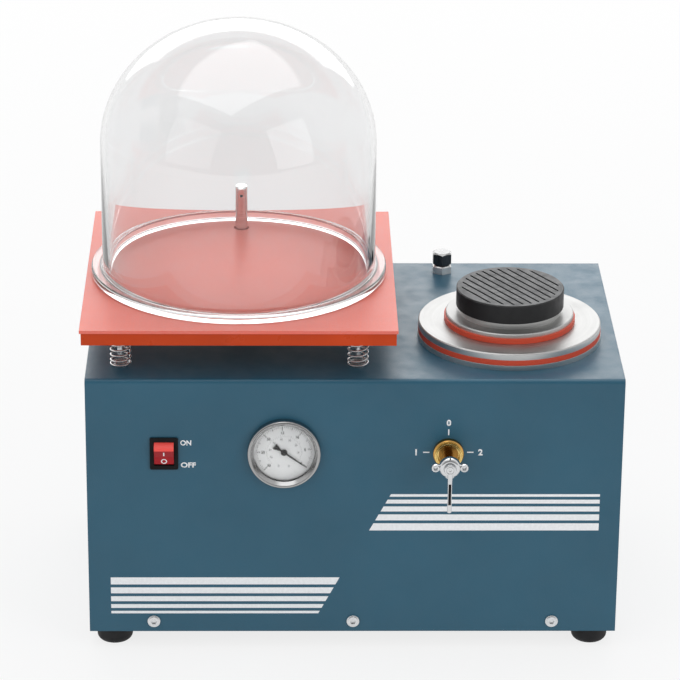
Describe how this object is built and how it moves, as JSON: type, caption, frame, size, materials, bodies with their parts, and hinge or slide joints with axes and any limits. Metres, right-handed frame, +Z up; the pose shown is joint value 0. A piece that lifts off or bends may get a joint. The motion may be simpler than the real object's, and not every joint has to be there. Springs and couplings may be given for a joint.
{
  "type": "vacuum casting machine",
  "caption": "Bench vacuum casting machine: steel cabinet with gauge, rocker switch and lever valve, sprung table under a clear bell jar, and flanged chamber with a perforated flask.",
  "frame": {"origin": "on the bench, under the middle of the machine's overall footprint", "axes": "+Z up; -Y is the front with the gauge, switch and valve; +X is the right as the front is seen"},
  "size_m": [0.5066, 0.3516, 0.572],
  "materials": {
    "cover_paint": "semi-gloss blue-grey paint",
    "tray_paint": "matt dark grey paint",
    "screw_steel": "zinc-plated steel",
    "black_rubber": "moulded rubber",
    "black_paint": "satin black paint",
    "chrome": "bright chrome plate",
    "dial_white": "printed white enamel",
    "clear_glass": "clear flat glass",
    "needle_black": "matt black paint",
    "brass": "machined brass",
    "black_plastic": "fine matt black plastic",
    "red_plastic": "translucent red plastic",
    "stainless": "brushed stainless steel",
    "red_silicone": "red silicone sheet",
    "machined_steel": "turned steel",
    "base_rubber": "dark grey rubber",
    "cap_metal": "blackened steel",
    "table_paint": "orange-red powder coat",
    "pink_silicone": "salmon silicone sheet",
    "spring_wire": "bright spring wire",
    "clear_jar": "clear moulded acrylic",
    "motor_paint": "dark grey motor paint",
    "cast_grey": "machined cast iron",
    "vane_resin": "fibre-filled resin",
    "aluminium": "plain drawn aluminium",
    "hose_rubber": "smooth black hose"
  },
  "bodies": {
    "cabinet": {"hood": "cover_paint", "base_tray": "tray_paint", "rear_panel": "cover_paint", "cover_screws": "screw_steel", "rear_screws": "screw_steel", "rubber_feet": "black_rubber", "foot_screws": "screw_steel", "gauge_case": "black_paint", "gauge_bezel": "chrome", "gauge_dial": "dial_white", "gauge_lens": "clear_glass", "gauge_movement": "brass", "gauge_clamp": "screw_steel", "switch_housing": "black_plastic", "switch_terminals": "brass", "valve_body": "brass", "valve_nut": "brass", "chamber_pot": "stainless", "chamber_gasket": "red_silicone", "chamber_elbow": "brass", "filler_neck": "chrome", "spring_seats": "screw_steel", "tube_grommet": "black_rubber", "spring_front_left": "spring_wire", "spring_front_right": "spring_wire", "spring_rear_left": "spring_wire", "spring_rear_right": "spring_wire", "motor_body": "motor_paint", "pump_body": "cast_grey", "pump_mounts": "black_rubber", "run_capacitor": "aluminium", "table_hose": "hose_rubber", "chamber_hose": "hose_rubber", "pump_hose": "hose_rubber", "gauge_hose": "hose_rubber", "power_inlet": "black_plastic", "inlet_pins": "brass", "wiring_loom": "hose_rubber"},
    "table": {"table_plate": "table_paint", "table_mat": "pink_silicone", "table_pegs": "screw_steel", "air_tube": "stainless"},
    "jar": {"bell_jar": "clear_jar"},
    "adapter": {"adapter_plate": "machined_steel", "flask_gasket": "red_silicone"},
    "flask": {"casting_flask": "stainless"},
    "sprue": {"sprue_base": "base_rubber"},
    "valve_handle": {"valve_plug": "brass", "handle_cap": "chrome", "handle_lever": "chrome", "lever_inlay": "black_plastic", "handle_screw": "chrome"},
    "rocker": {"switch_rocker": "red_plastic"},
    "needle": {"gauge_needle": "needle_black"},
    "seal": {"cap_seal": "black_rubber"},
    "oil_cap": {"filler_cap": "cap_metal"},
    "rotor": {"motor_shaft": "screw_steel", "cooling_fan": "black_plastic", "pump_rotor": "cast_grey", "rotor_vanes": "vane_resin"}
  },
  "joints": [
    {"name": "table_slide", "type": "slide", "parent": "cabinet", "child": "table", "axis": [0, 0, 1], "range_m": [-0.006, 0.003], "stiffness_N_per_m": 12500, "springref_m": 0.00905, "deforming": ["spring_front_left", "spring_front_right", "spring_rear_left", "spring_rear_right"]},
    {"name": "jar_lift", "type": "slide", "parent": "table", "child": "jar", "axis": [0, 0, 1], "range_m": [0, 0.12]},
    {"name": "adapter_lift", "type": "slide", "parent": "cabinet", "child": "adapter", "axis": [0, 0, 1], "range_m": [0, 0.03]},
    {"name": "flask_lift", "type": "slide", "parent": "adapter", "child": "flask", "axis": [0, 0, 1], "range_m": [0, 0.13]},
    {"name": "sprue_lift", "type": "slide", "parent": "flask", "child": "sprue", "axis": [0, 0, 1], "range_m": [0, 0.05]},
    {"name": "valve_turn", "type": "hinge", "parent": "cabinet", "child": "valve_handle", "pos_m": [0.0879, -0.13475, 0.204], "axis": [0, -1, 0], "range_deg": [-90, 90]},
    {"name": "rocker_tilt", "type": "hinge", "parent": "cabinet", "child": "rocker", "pos_m": [-0.1768, -0.13375, 0.203], "axis": [-1, 0, 0], "range_deg": [0, 45.2]},
    {"name": "needle_turn", "type": "hinge", "parent": "cabinet", "child": "needle", "pos_m": [-0.0651, -0.13475, 0.204], "axis": [0, -1, 0], "range_deg": [0, 260], "stiffness_Nm_per_rad": 0.0005, "springref_deg": -22.92},
    {"name": "cap_rise", "type": "slide", "parent": "cabinet", "child": "seal", "axis": [0, 0, 1], "range_m": [0, 0.006]},
    {"name": "cap_turn", "type": "hinge", "parent": "seal", "child": "oil_cap", "pos_m": [0.0924, 0.13925, 0.2865], "axis": [0, 0, 1], "range_deg": [0, 1440]},
    {"name": "motor_spin", "type": "hinge", "parent": "cabinet", "child": "rotor", "pos_m": [-0.0293, 0.06525, 0.097], "axis": [1, 0, 0], "continuous": true}
  ],
  "couplings": [
    {"joint": "cap_turn", "follows": "cap_rise", "rad_per_m": 4188.8}
  ]
}
